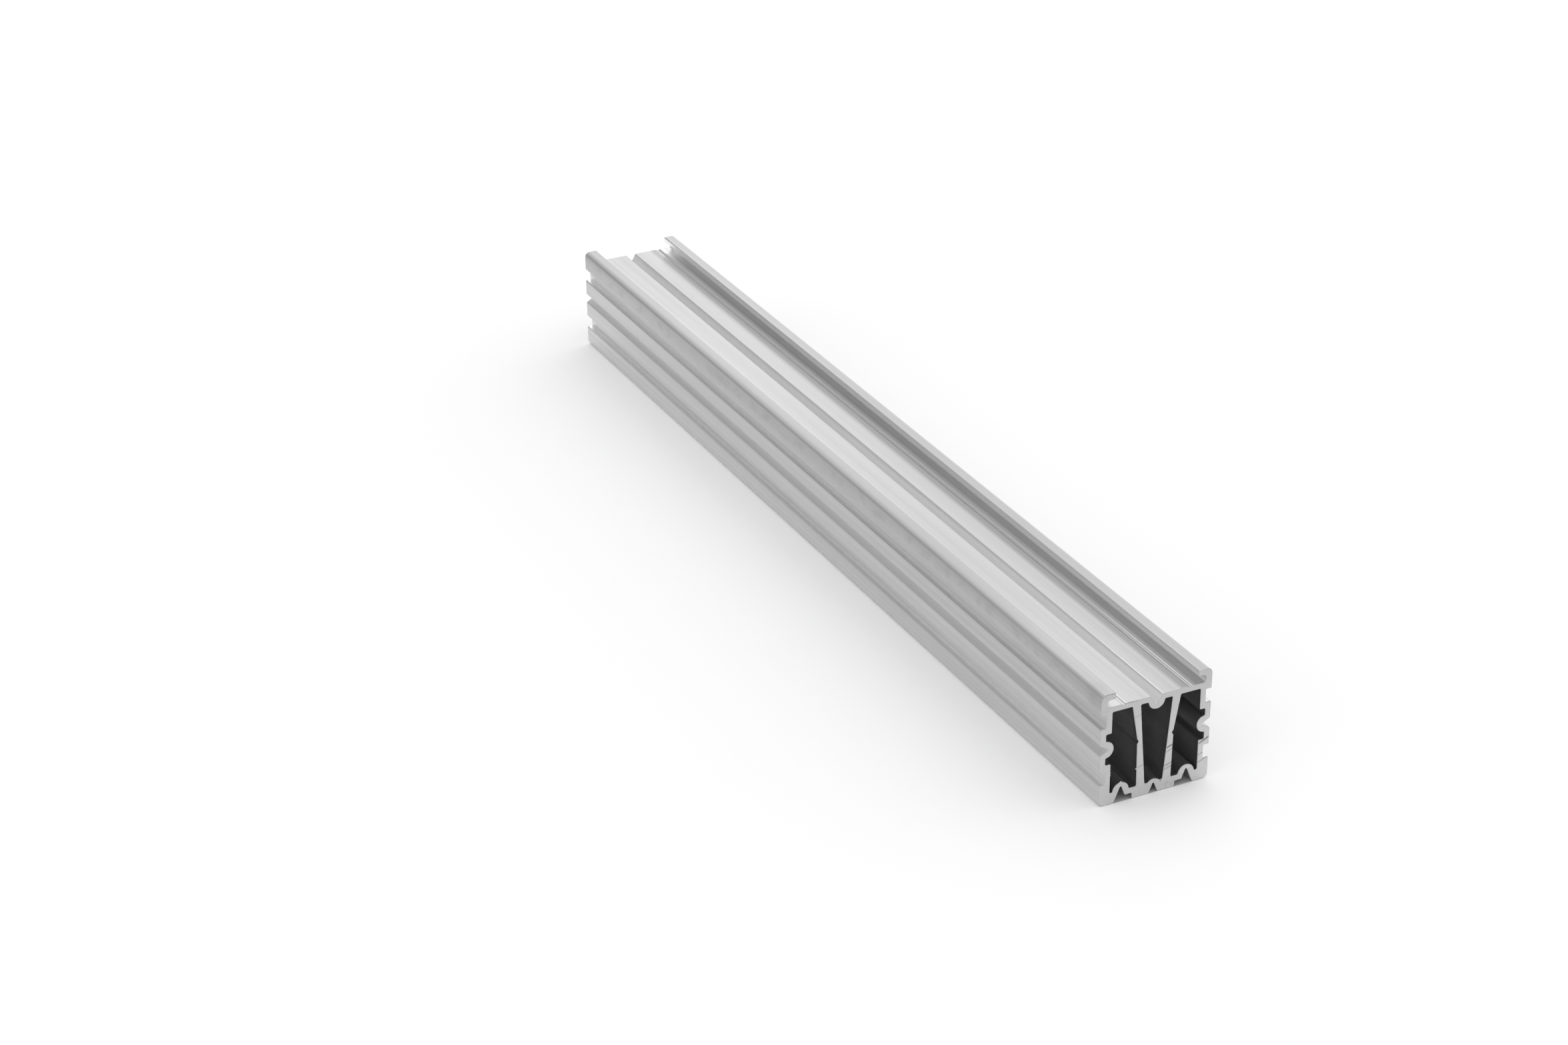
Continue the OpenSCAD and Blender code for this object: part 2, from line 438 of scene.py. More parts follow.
def open_copy_of_bar():
    """A merged copy of the CAD bar as four open tubes: the skin and the walls of the three chambers."""
    deselect_all()
    node = frame["nodes"][BAR_NODE]
    node.select_set(True)
    bpy.context.view_layer.objects.active = node
    bpy.ops.object.duplicate()
    bar = bpy.context.object
    bar.name = bar.data.name = BAR_PIECE
    del bar["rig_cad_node"]
    edit_mode()
    bpy.ops.mesh.customdata_custom_splitnormals_clear()
    bpy.ops.mesh.select_all(action="SELECT")
    bpy.ops.mesh.remove_doubles(threshold=TINY)
    object_mode()
    select_only(bar.data, faces=np.abs(face_normals(bar.data)[:, 0]) > END_FACING)
    edit_mode()
    bpy.ops.mesh.delete(type="FACE")
    bpy.ops.mesh.select_all(action="SELECT")
    bpy.ops.mesh.dissolve_limited(angle_limit=FLAT_ANGLE)
    object_mode()
    return bar


def skin_vertices(bar):
    """A mask of the vertices on the outer skin."""
    mesh = bar.data
    widest = np.zeros(len(mesh.vertices), dtype=bool)
    widest[np.argmax(vertex_places(mesh)[:, 1])] = True
    select_only(mesh, vertices=widest)
    edit_mode()
    bpy.ops.mesh.select_linked()
    object_mode()
    mask = np.empty(len(mesh.vertices), dtype=bool)
    mesh.vertices.foreach_get("select", mask)
    return mask


def split_into_strips(bar, pitch, skin_only):
    """Halves the end edges until none is longer than the pitch, which splits the skin lengthwise."""
    while True:
        mesh = bar.data
        on_skin = skin_vertices(bar) if skin_only else np.ones(len(mesh.vertices), dtype=bool)
        ends = edge_ends(mesh)
        places = vertex_places(mesh)
        step = places[ends[:, 1]] - places[ends[:, 0]]
        across = np.abs(step[:, 0]) < TINY
        too_long = across & (np.linalg.norm(step, axis=1) > pitch) & on_skin[ends[:, 0]]
        if not too_long.any():
            return
        select_only(mesh, edges=too_long)
        edit_mode()
        bpy.ops.mesh.subdivide(number_cuts=1)
        object_mode()


def line_depth(y, z, props):
    """How deep the die has drawn its lines at a place on the section, from 0 to 1."""
    fine = noise.noise(Vector((y, z, 0)) / props.fine_line)
    broad = noise.noise(Vector((z, y, 0)) / props.broad_line)
    return min(1.0, max(0.0, LINE_MIDDLE + FINE_SHARE * fine + BROAD_SHARE * broad))


def draw_die_lines(bar, props):
    """Sinks each lengthwise edge of the skin a little, so that fine lines run along the bar."""
    mesh = bar.data
    places = vertex_places(mesh)
    normals = vertex_normals(mesh)
    for index in np.flatnonzero(skin_vertices(bar)):
        y, z = places[index, 1:]
        places[index] -= normals[index] * props.die_depth * line_depth(y, z, props)
    set_vertex_places(mesh, places)


def cross(first, second):
    return first[..., 0] * second[..., 1] - first[..., 1] * second[..., 0]


def find_shelter(bar):
    """Keeps, on the skin's vertices, the share of their outlook across the bar that metal shuts off."""
    mesh = bar.data
    skin = skin_vertices(bar)
    places = vertex_places(mesh)
    normals = vertex_normals(mesh)[:, 1:]
    ends = edge_ends(mesh)
    ends = ends[(places[ends, 0] > 0).all(axis=1) & skin[ends[:, 0]]]
    wall_start = places[ends[:, 0], 1:]
    wall_step = places[ends[:, 1], 1:] - wall_start
    start = places[skin, 1:] + normals[skin] * SHELTER_CLEARANCE
    to_wall = wall_start[None] - start[:, None]
    shut, total = np.zeros(len(start)), 0.0
    for angle in np.linspace(-math.pi / 2, math.pi / 2, SHELTER_RAYS + 2)[1:-1]:
        turned = np.array(((math.cos(angle), -math.sin(angle)), (math.sin(angle), math.cos(angle))))
        ray = (normals[skin] @ turned.T)[:, None]
        facing = cross(ray, wall_step[None])
        facing[np.abs(facing) < PARALLEL] = PARALLEL
        distance = cross(to_wall, wall_step[None]) / facing
        along = cross(to_wall, np.broadcast_to(ray, to_wall.shape)) / facing
        hit = ((distance > 0) & (along >= 0) & (along <= 1)).any(axis=1)
        shut += hit * math.cos(angle)
        total += math.cos(angle)
    shelter = np.zeros(len(places))
    shelter[skin] = shut / total
    keep_on_vertices(mesh, SHELTERED, shelter)


def find_worn_edges(bar):
    """Keeps, on the skin's vertices, how far edges and roots are worn glossy and painted with a highlight,
    below 0 where they are painted with shade instead.
    """
    mesh = bar.data
    places = vertex_places(mesh)
    ends = edge_ends(mesh)
    step = places[ends[:, 1]] - places[ends[:, 0]]
    across = np.abs(step[:, 0]) < TINY
    ends, step = ends[across], step[across]
    step /= np.linalg.norm(step, axis=1)[:, None]
    pull = np.zeros_like(places)
    np.add.at(pull, ends[:, 0], step)
    np.add.at(pull, ends[:, 1], -step)
    bend = -(pull * vertex_normals(mesh)).sum(axis=1)
    bend = np.where(places[:, 2] > CHANNEL_LOW, np.abs(bend), -bend)
    amount = np.clip((np.abs(bend) - WEAR_START) / WEAR_SPAN, 0, 1)
    wear = np.sign(bend) * amount * skin_vertices(bar)
    wear[(places[:, 2] < CHANNEL_LOW) & (wear > 0)] *= ROOT_WEAR
    keep_on_vertices(mesh, EDGE_WEAR_AND_SHEEN, wear)


def finish_chambers(bar):
    """Gives the chambers' walls their own finish."""
    on_skin = skin_vertices(bar)
    for face in bar.data.polygons:
        face.material_index = MILL_SLOT if on_skin[face.vertices[0]] else CHAMBER_SLOT


def remember_normals(bar):
    """Keeps each vertex's direction out of the metal, which later cuts then carry along."""
    mesh = bar.data
    outward = mesh.attributes.new(OUTWARD, "FLOAT_VECTOR", "POINT")
    outward.data.foreach_set("vector", vertex_normals(mesh).ravel())


def remembered_normals(bar):
    mesh = bar.data
    normals = np.empty(len(mesh.vertices) * 3)
    mesh.attributes[OUTWARD].data.foreach_get("vector", normals)
    return normals.reshape(-1, 3)


def edges_near(mesh, x):
    """A mask of the edges that lie across the bar at this distance along it."""
    at_x = np.abs(vertex_places(mesh)[:, 0] - x) < TINY
    return at_x[edge_ends(mesh)].all(axis=1)


def bell(places, centre, spread):
    """1 at a place on the section, fading to 0 about it."""
    return np.exp(-(((places - np.array(centre) * MM) / (spread * MM)) ** 2).sum(axis=1))


def burr_reach(places):
    """How far the burrs stand out of the metal at each place on a rim."""
    reach = np.zeros(len(places))
    near = places[:, 0] > 0
    for y, z, out, spread in BURRS:
        reach[near] += out * MM * bell(places[near, 1:], (y, z), spread)
    return reach


def break_rims(bar, props):
    """Rounds the tubes' open ends into the metal, up to the planes of the saw cuts, burrs and all."""
    mesh = bar.data
    width = props.rim_break
    places = vertex_places(mesh)
    places[:, 0] -= np.sign(places[:, 0]) * width
    set_vertex_places(mesh, places)
    select_only(mesh, edges=edges_near(mesh, HALF_LENGTH - width) | edges_near(mesh, width - HALF_LENGTH))
    along, inward = 0.0, 0.0
    for angle in (BURR_ANGLE / 2, BURR_ANGLE):
        edit_mode()
        bpy.ops.mesh.extrude_edges_move()
        object_mode()
        places = vertex_places(mesh)
        ring = np.empty(len(mesh.vertices), dtype=bool)
        mesh.vertices.foreach_get("select", ring)
        step_along = width * math.sin(angle) - along
        step_inward = width * (1 - math.cos(angle)) - inward
        lumps = [RIM_LUMPINESS * noise.noise(Vector(spot) / props.rim_lump) for spot in places[ring]]
        step = step_inward * (1 + np.array(lumps))
        if angle == BURR_ANGLE:
            step -= burr_reach(places[ring])
        places[ring, 0] += np.sign(places[ring, 0]) * step_along
        places[ring] -= remembered_normals(bar)[ring] * step[:, None]
        set_vertex_places(mesh, places)
        along += step_along
        inward += step_inward
    finish_rims(bar, width)


def finish_rims(bar, width):
    """Gives the rims their own finish, with painted shade on some stretches."""
    mesh = bar.data
    places = vertex_places(mesh)
    for face in mesh.polygons:
        if abs(face.center.x) > HALF_LENGTH - width:
            face.material_index = RIM_SLOT
    shade = np.zeros(len(places))
    for y, z, spread in SHADED_RIM_STRETCHES:
        shade = np.maximum(shade, bell(places[:, 1:], (y, z), spread))
    keep_on_vertices(mesh, RIM_PAINTED_SHADE, shade)


def close_ends(bar):
    """Fills the two saw cuts and gives their faces the sawn finish."""
    mesh = bar.data
    for side in (-1, 1):
        select_only(mesh, edges=edges_near(mesh, side * HALF_LENGTH))
        edit_mode()
        bpy.ops.mesh.fill(use_beauty=True)
        bar.active_material_index = SAWN_SLOT
        bpy.ops.object.material_slot_assign()
        object_mode()


def saw_arcs(places, centre):
    """Places on a cut end as (distance round the saw's centre, distance from it)."""
    offset = places - centre
    reach = np.hypot(offset[:, 0], offset[:, 1])
    return np.column_stack((np.arctan2(offset[:, 0], -offset[:, 1]) * centre[1], reach))


def from_saw_arcs(arcs, centre):
    """The inverse of saw_arcs."""
    angle = arcs[:, 0] / centre[1]
    return centre + arcs[:, 1:] * np.column_stack((np.sin(angle), -np.cos(angle)))


def cut_saw_marks(bar, props):
    """Cuts the end faces along arcs about the saw's centre and sinks each arc to its own depth."""
    mesh = bar.data
    centre = np.array((props.saw_centre_y, props.saw_centre_z))
    places = vertex_places(mesh)
    on_end = np.abs(places[:, 0]) > HALF_LENGTH - TINY
    places[on_end, 1:] = saw_arcs(places[on_end, 1:], centre)
    set_vertex_places(mesh, places)
    first, last = places[on_end, 2].min(), places[on_end, 2].max()
    marks = np.arange(first, last, props.saw_pitch)
    edit_mode()
    for mark in marks[1:]:
        bpy.ops.mesh.select_all(action="DESELECT")
        bar.active_material_index = SAWN_SLOT
        bpy.ops.object.material_slot_select()
        bpy.ops.mesh.bisect(plane_co=(0, 0, mark), plane_no=(0, 0, 1), threshold=CUT_SLACK)
    object_mode()
    places = vertex_places(mesh)
    on_end = np.flatnonzero(np.abs(places[:, 0]) > HALF_LENGTH - TINY)
    arcs = places[on_end, 1:].copy()
    places[on_end, 1:] = from_saw_arcs(arcs, centre)
    sides = np.sign(places[on_end, 0])
    scores = saw_scores(arcs, sides, centre, props)
    teeth = [saw_tooth(spot, side, props) for spot, side in zip(arcs, sides)]
    places[on_end, 0] -= sides * (props.saw_depth * np.array(teeth) + props.score_depth * scores)
    set_vertex_places(mesh, places)
    kept = np.zeros(len(places))
    kept[on_end] = scores
    keep_on_vertices(mesh, SAW_SCORE, kept)


def saw_tooth(spot, side, props):
    """Depth of the usual saw marks at a place given as saw arcs, about 1."""
    across = spot[1] / (TOOTH_WIDTH * props.saw_pitch)
    along = spot[0] / TOOTH_LENGTH
    return 1 + noise.noise(Vector((across, along, CUTS_APART * side)))


def saw_scores(arcs, sides, centre, props):
    """How much of a deep score lies at each place given as saw arcs, from 0 to 1."""
    scores = np.zeros(len(arcs))
    for y, z, strength in SCORES:
        for side in (-1, 1):
            middle = saw_arcs(np.array(((y * side, z),)) * MM, centre)[0]
            across = np.abs(arcs[:, 1] - middle[1]) / props.saw_pitch
            along = (arcs[:, 0] - middle[0]) / props.score_reach
            score = strength * np.clip(SCORE_HALF_WIDTH - across, 0, 1) * np.exp(-(along**2))
            scores = np.where(sides == side, np.maximum(scores, score), scores)
    return scores


def shade_bar(bar, smooth_angle, width):
    """Points the faces outwards and shades the skin smooth, with its rims left crisp."""
    edit_mode()
    bpy.ops.mesh.select_all(action="SELECT")
    bpy.ops.mesh.dissolve_degenerate(threshold=TINY)
    bpy.ops.mesh.normals_make_consistent(inside=False)
    object_mode()
    bpy.ops.object.shade_smooth_by_angle(angle=smooth_angle)
    mesh = bar.data
    rims = np.zeros(len(mesh.edges), dtype=bool)
    for side in (-1, 1):
        rims |= edges_near(mesh, side * (HALF_LENGTH - width))
    select_only(mesh, edges=rims)
    edit_mode()
    bpy.ops.mesh.mark_sharp()
    bpy.ops.mesh.select_all(action="DESELECT")
    bar.active_material_index = SAWN_SLOT
    bpy.ops.object.material_slot_select()
    bpy.ops.mesh.region_to_loop()
    bpy.ops.mesh.mark_sharp()
    object_mode()


def dress_bar(props, materials):
    """Makes the dressed bar, step by step, and puts it in the place of the plain one."""
    bar = open_copy_of_bar()
    bar.data.materials.clear()
    for material in materials:
        bar.data.materials.append(material)
    split_into_strips(bar, props.die_pitch, skin_only=True)
    split_into_strips(bar, props.wall_pitch, skin_only=False)
    find_shelter(bar)
    find_worn_edges(bar)
    draw_die_lines(bar, props)
    finish_chambers(bar)
    remember_normals(bar)
    break_rims(bar, props)
    close_ends(bar)
    cut_saw_marks(bar, props)
    shade_bar(bar, props.smooth_angle, props.rim_break)
    bar.data.attributes.remove(bar.data.attributes[OUTWARD])
    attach(bar, BODY)
    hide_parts(BAR_NODE)


# The metal's finishes


class NodeMaker:
    """Adds nodes to a tree, each with its values and links."""

    def __init__(self, tree):
        self.tree = tree
        tree.nodes.clear()

    def add(self, kind, values=None, **settings):
        node = self.tree.nodes.new(kind)
        for setting, value in settings.items():
            setattr(node, setting, value)
        for socket, value in (values or {}).items():
            if isinstance(value, bpy.types.NodeSocket):
                self.tree.links.new(value, node.inputs[socket])
            else:
                node.inputs[socket].default_value = value
        return node

    def maths(self, operation, first, second, clamp=False):
        node = self.add("ShaderNodeMath", {0: first, 1: second}, operation=operation, use_clamp=clamp)
        return node.outputs[0]

    def effect(self, group, output, **values):
        """An output of one of the shared effects, with its own values."""
        node = self.add("ShaderNodeGroup", node_tree=group)
        for socket, value in values.items():
            node.inputs[socket].default_value = value
        return node.outputs[output]

    def kept(self, name):
        """A value that the mesh keeps on its vertices."""
        return self.add("ShaderNodeAttribute", attribute_name=name).outputs["Fac"]

    def fading(self, away, reach):
        """A mask that is 1 where a distance is 0 and fades to 0 at its reach."""
        return self.add(
            "ShaderNodeMapRange",
            {"Value": away, "From Min": reach, "From Max": 0.0},
            interpolation_type="SMOOTHSTEP",
        ).outputs["Result"]

    def about(self, centre, reach):
        """A mask that is 1 at a place on the piece and fades to 0 at a distance from it."""
        where = self.add("ShaderNodeTexCoord").outputs["Object"]
        away = self.add("ShaderNodeVectorMath", {0: where, 1: centre}, operation="DISTANCE")
        return self.fading(away.outputs["Value"], reach)

    def along(self, axis):
        """How far along an axis a place on the piece lies."""
        where = self.add("ShaderNodeTexCoord").outputs["Object"]
        return self.add("ShaderNodeSeparateXYZ", {0: where}).outputs[axis]

    def from_middle(self, axis):
        """How far from the piece's middle a place lies, along an axis."""
        return self.maths("ABSOLUTE", self.along(axis), 0.0)

    def low_down(self):
        """1 at the base of the bar, falling to 0 at its top."""
        return self.maths("SUBTRACT", 1.0, self.maths("DIVIDE", self.along("Z"), BAR_HIGH.z))

    def band(self, value, middle, reach):
        """A mask that is 1 where a value is at its middle and fades to 0 at a distance from it."""
        away = self.maths("ABSOLUTE", self.maths("SUBTRACT", value, middle), 0.0)
        return self.fading(away, reach)

    def toward(self, direction, middle, spread):
        """A mask that is 1 in one direction and fades about it, the faster the higher its spread."""
        facing = self.add(
            "ShaderNodeVectorMath", {0: direction, 1: Vector(middle).normalized()}, operation="DOT_PRODUCT"
        )
        return self.maths("POWER", self.maths("MAXIMUM", facing.outputs["Value"], 0.0), spread)

    def changed(self, tone, *changes):
        """A tone with a change added for each mask, where that mask is 1."""
        for mask, change in changes:
            tone = self.maths("ADD", tone, self.maths("MULTIPLY", mask, change))
        return tone

    def gained(self, tone, mask, gain):
        """A tone raised by a share of itself where a mask is 1."""
        return self.maths("MULTIPLY", tone, self.maths("ADD", self.maths("MULTIPLY", mask, gain), 1.0))

    def around(self, mask, middle, swing):
        """A value that swings about its middle as a mask goes from 0 to 1."""
        return self.maths("ADD", self.maths("MULTIPLY", mask, 2 * swing), middle - swing)


def new_effect(name, inputs, output):
    """A shared effect: a node group with these number inputs and one number output."""
    tree = bpy.data.node_groups.new(name, "ShaderNodeTree")
    for socket, default in inputs.items():
        made = tree.interface.new_socket(name=socket, in_out="INPUT", socket_type="NodeSocketFloat")
        made.default_value = default
    tree.interface.new_socket(name=output, in_out="OUTPUT", socket_type="NodeSocketFloat")
    make = NodeMaker(tree)
    return tree, make, make.add("NodeGroupInput"), make.add("NodeGroupOutput")


def streak_effect():
    """Long streaks that the die draws along the bar, from 0 to 1."""
    tree, make, given, out = new_effect(
        "Drawn streaks", {"Length": 0.5, "Width": 0.001, "Detail": 2.0, "Contrast": 1.0}, "Streak"
    )
    size = make.add(
        "ShaderNodeCombineXYZ",
        {"X": given.outputs["Length"], "Y": given.outputs["Width"], "Z": given.outputs["Width"]},
    )
    where = make.add("ShaderNodeTexCoord")
    scaled = make.add(
        "ShaderNodeVectorMath", {0: where.outputs["Object"], 1: size.outputs[0]}, operation="DIVIDE"
    )
    streaks = make.add(
        "ShaderNodeTexNoise", {"Vector": scaled.outputs[0], "Scale": 1.0, "Detail": given.outputs["Detail"]}
    )
    off = make.maths("SUBTRACT", streaks.outputs["Fac"], NOISE_MIDDLE)
    stretch = make.maths("MULTIPLY", given.outputs["Contrast"], STREAK_STRETCH)
    value = make.maths("ADD", make.maths("MULTIPLY", off, stretch), NOISE_MIDDLE, clamp=True)
    tree.links.new(value, out.inputs["Streak"])
    return tree


def smudge_effect():
    """Patches where hands and oxide have dulled the metal, from 0 to 1."""
    tree, make, given, out = new_effect("Smudges", {"Size": 0.012, "Stretch": 2.0, "Cover": 0.5}, "Smudge")
    along = make.maths("MULTIPLY", given.outputs["Size"], given.outputs["Stretch"])
    size = make.add(
        "ShaderNodeCombineXYZ", {"X": along, "Y": given.outputs["Size"], "Z": given.outputs["Size"]}
    )
    where = make.add("ShaderNodeTexCoord")
    scaled = make.add(
        "ShaderNodeVectorMath", {0: where.outputs["Object"], 1: size.outputs[0]}, operation="DIVIDE"
    )
    cloud = make.add(
        "ShaderNodeTexNoise",
        {"Vector": scaled.outputs[0], "Scale": 1.0, "Detail": 4.0, "Roughness": 0.6, "Distortion": 0.4},
    )
    edge = make.maths("SUBTRACT", 1.0, given.outputs["Cover"])
    value = make.add(
        "ShaderNodeMapRange",
        {"Value": cloud.outputs["Fac"], "From Min": edge, "From Max": make.maths("ADD", edge, SMUDGE_EDGE)},
        interpolation_type="SMOOTHSTEP",
    )
    tree.links.new(value.outputs["Result"], out.inputs["Smudge"])
    return tree


def new_metal(name):
    material = bpy.data.materials.new(name)
    material.use_nodes = True
    return material, NodeMaker(material.node_tree)


def finish_metal(make, colour, tone, roughness, height, height_size, drawn=0.0):
    """Joins a finish's tone, roughness and height to the metal shader, drawn along the bar or not."""
    scaled = make.add("ShaderNodeVectorMath", {0: tuple(colour), "Scale": tone}, operation="SCALE")
    bump = make.add("ShaderNodeBump", {"Height": height, "Distance": height_size, "Strength": 1.0})
    shader = make.add(
        "ShaderNodeBsdfPrincipled",
        {
            "Base Color": scaled.outputs[0],
            "Metallic": 1.0,
            "Roughness": roughness,
            "Normal": bump.outputs["Normal"],
            "Anisotropic": drawn,
        },
    )
    if drawn:
        across = make.add("ShaderNodeTangent", direction_type="RADIAL", axis="X")
        make.tree.links.new(across.outputs["Tangent"], shader.inputs["Tangent"])
    make.add("ShaderNodeOutputMaterial", {"Surface": shader.outputs["BSDF"]})


def mill_finish(props, streaks, smudges):
    """The extruded skin: streaks along the bar, dulled patches, nicks, and painted light and shade: brighter
    grooves and base, bands along the channel and sides, darker lip tops and highlighted edges.
    """
    material, make = new_metal("mill_aluminium")
    broad = make.effect(streaks, "Streak", Length=0.35, Width=0.0028, Detail=3.0, Contrast=1.6)
    fine = make.effect(streaks, "Streak", Length=0.5, Width=0.0009, Detail=1.0, Contrast=1.5)
    patch = make.effect(smudges, "Smudge", Size=0.02, Stretch=2.2, Cover=0.55)
    mark = make.effect(smudges, "Smudge", Size=0.0035, Stretch=1.6, Cover=0.42)
    nick = make.effect(smudges, "Smudge", Size=0.0012, Stretch=1.8, Cover=0.3)
    thumb = make.about(THUMB, THUMB_REACH)
    tone = make.maths("ADD", make.around(broad, 1.0, BROAD_SWING), make.around(fine, 0.0, FINE_SWING))
    tone = make.changed(tone, (patch, PATCH_TONE), (mark, MARK_TONE), (thumb, THUMB_TONE), (nick, NICK_TONE))
    handled = make.effect(smudges, "Smudge", Size=0.006, Stretch=1.3, Cover=0.55)
    sides = make.maths("GREATER_THAN", make.from_middle("Y"), SIDE_SKIN)
    strip = make.band(make.along("Z"), BAR_HIGH.z - HANDLED_HALF, HANDLED_HALF)
    dulled = make.maths("MULTIPLY", handled, make.maths("MULTIPLY", sides, strip))
    tone = make.maths("SUBTRACT", tone, make.maths("MULTIPLY", dulled, props.handled))
    # Painted highlights and painted shade in bands along the channel and the sides
    for bands, across in ((CHANNEL_PAINTED_LIGHT_BANDS, make.along("Y")), (SIDE_PAINTED_LIGHT_BANDS, make.from_middle("Y"))):
        for y, z, half_width, half_height, change in bands:
            beside = make.band(across, y * MM, half_width * MM)
            level = make.band(make.along("Z"), z * MM, half_height * MM)
            tone = make.gained(tone, make.maths("MULTIPLY", beside, level), change)
    # Painted shade: the tops of the lips are painted darker
    lips = make.band(make.along("Z"), BAR_HIGH.z, LIP_TOP)
    tone = make.maths("SUBTRACT", tone, make.maths("MULTIPLY", lips, props.lip_top_painted_shade))
    # Painted highlight on worn edges and roots, and painted shade on the edges below the channel; the wear
    # itself only makes them glossier
    worn = make.kept(EDGE_WEAR_AND_SHEEN)
    tone = make.gained(tone, worn, props.painted_edge_light)
    # Painted bounce light: brighter where metal shelters the skin
    tone = make.gained(tone, make.kept(SHELTERED), props.painted_groove_light)
    # Painted light: brighter down at the base
    tone = make.gained(tone, make.low_down(), props.painted_low_light)
    tone = make.maths("MINIMUM", tone, props.brightest / max(props.mill_colour))
    roughness = make.around(fine, props.mill_roughness, MILL_ROUGHNESS_SWING)
    bright = make.maths("MAXIMUM", worn, 0.0)
    roughness = make.maths("SUBTRACT", roughness, make.maths("MULTIPLY", bright, WORN_GLOSS))
    height = make.changed(fine, (nick, NICK_HEIGHT))
    finish_metal(make, props.mill_colour, tone, roughness, height, MILL_BUMP, props.mill_drawn)
    return material


def saw_texture(make, bar_props):
    """Fine arcs left by the saw's teeth, from 0 to 1."""
    where = make.add("ShaderNodeTexCoord")
    centre = (0.0, bar_props.saw_centre_y, bar_props.saw_centre_z)
    offset = make.add("ShaderNodeVectorMath", {0: where.outputs["Object"], 1: centre}, operation="SUBTRACT")
    flat = make.add("ShaderNodeVectorMath", {0: offset.outputs[0], 1: (0, 1, 1)}, operation="MULTIPLY")
    reach = make.add("ShaderNodeVectorMath", {0: flat.outputs[0]}, operation="LENGTH").outputs["Value"]
    return make.add(
        "ShaderNodeTexNoise",
        {"W": reach, "Scale": 1 / ARC_SIZE, "Detail": 3.0, "Roughness": 0.6},
        noise_dimensions="1D",
    ).outputs["Fac"]


def sawn_finish(props, bar_props, smudges):
    """A cut end: fine arcs left by the saw's teeth, painted shade in the deep scores and the pit, smears,
    grime near the base, and painted light down at the base.
    """
    material, make = new_metal("sawn_aluminium")
    arcs = saw_texture(make, bar_props)
    smear = make.effect(smudges, "Smudge", Size=0.004, Stretch=1.0, Cover=0.5)
    speck = make.effect(smudges, "Smudge", Size=0.0012, Stretch=1.0, Cover=0.5)
    grime = make.maths("MULTIPLY", make.about(GRIME, GRIME_REACH), speck)
    pit = make.about(PIT, PIT_REACH)
    tone = make.around(arcs, 1.0, ARC_SWING)
    # Painted shade in the deep saw scores
    dark = make.maths("MULTIPLY", make.kept(SAW_SCORE), props.painted_score_shade)
    tone = make.maths("SUBTRACT", tone, dark)
    tone = make.changed(tone, (smear, SMEAR_TONE), (speck, SPECK_TONE), (grime, GRIME_TONE), (pit, PIT_PAINTED_SHADE))
    # Painted light: brighter down at the base
    tone = make.gained(tone, make.low_down(), props.painted_low_cut_light)
    roughness = make.around(arcs, props.sawn_roughness, ARC_ROUGHNESS_SWING)
    finish_metal(make, props.sawn_colour, tone, roughness, arcs, ARC_BUMP)
    return material


def rim_finish(props, smudges):
    """The broken edge round a cut, with painted shade along some stretches."""
    material, make = new_metal("rim_aluminium")
    lump = make.effect(smudges, "Smudge", Size=0.0015, Stretch=1.0, Cover=0.6)
    # Painted shade on some stretches of the rims, broken up by lumps
    dark = make.maths("MULTIPLY", make.kept(RIM_PAINTED_SHADE), make.around(lump, RIM_MIDDLE, RIM_SWING))
    tone = make.maths("SUBTRACT", 1.0, make.maths("MULTIPLY", dark, props.painted_rim_darkness))
    roughness = make.around(lump, props.sawn_roughness, RIM_ROUGHNESS_SWING)
    finish_metal(make, props.sawn_colour, tone, roughness, lump, RIM_BUMP)
    return material


def chamber_finish(props, streaks, smudges):
    """The chambers' walls, dull, with painted shade that is darkest near their mouths."""
    material, make = new_metal("chamber_aluminium")
    broad = make.effect(streaks, "Streak", Length=0.3, Width=0.002, Detail=2.0, Contrast=1.5)
    patch = make.effect(smudges, "Smudge", Size=0.0006, Stretch=1.0, Cover=0.5)
    inward = make.maths("SUBTRACT", HALF_LENGTH, make.from_middle("X"))
    inside = make.maths("DIVIDE", inward, props.mouth_depth, clamp=True)
    dark = make.maths("MULTIPLY", patch, WALL_PATCH)
    tone = make.maths("SUBTRACT", make.around(broad, 1.0, WALL_SWING), dark)
    # The painted shade lifts deeper in, towards the plain metal
    tone = make.gained(tone, inside, props.painted_shade_lift)
    roughness = make.around(broad, props.chamber_roughness, WALL_ROUGHNESS_SWING)
    finish_metal(make, props.chamber_shade_colour, tone, roughness, broad, WALL_BUMP)
    return material


# The stage


def set_camera(props):
    turned = (
        Matrix.Rotation(props.azimuth, 4, "Z")
        @ Matrix.Rotation(math.pi / 2 - props.elevation, 4, "X")
        @ Matrix.Rotation(props.roll, 4, "Z")
    )
    backward = (turned @ Vector((0, 0, 1, 0))).to_3d()
    place_of_camera = Vector(props.aim) + backward * props.distance
    bpy.ops.object.camera_add(location=place_of_camera, rotation=turned.to_euler())
    camera = bpy.context.object
    camera.name = "photo_camera"
    camera.data.lens = props.focal_length
    camera.data.sensor_width = SENSOR_WIDTH
    camera.data.clip_start = CLIP_START
    bpy.context.scene.camera = camera


def add_lamp(name, location, target, size, power):
    direction = Vector(target) - Vector(location)
    bpy.ops.object.light_add(
        type="AREA", location=location, rotation=direction.to_track_quat("-Z", "Y").to_euler()
    )
    lamp = bpy.context.object
    lamp.name = name
    lamp.data.shape = "SQUARE"
    lamp.data.size = size
    lamp.data.energy = power
    lamp.visible_camera = False


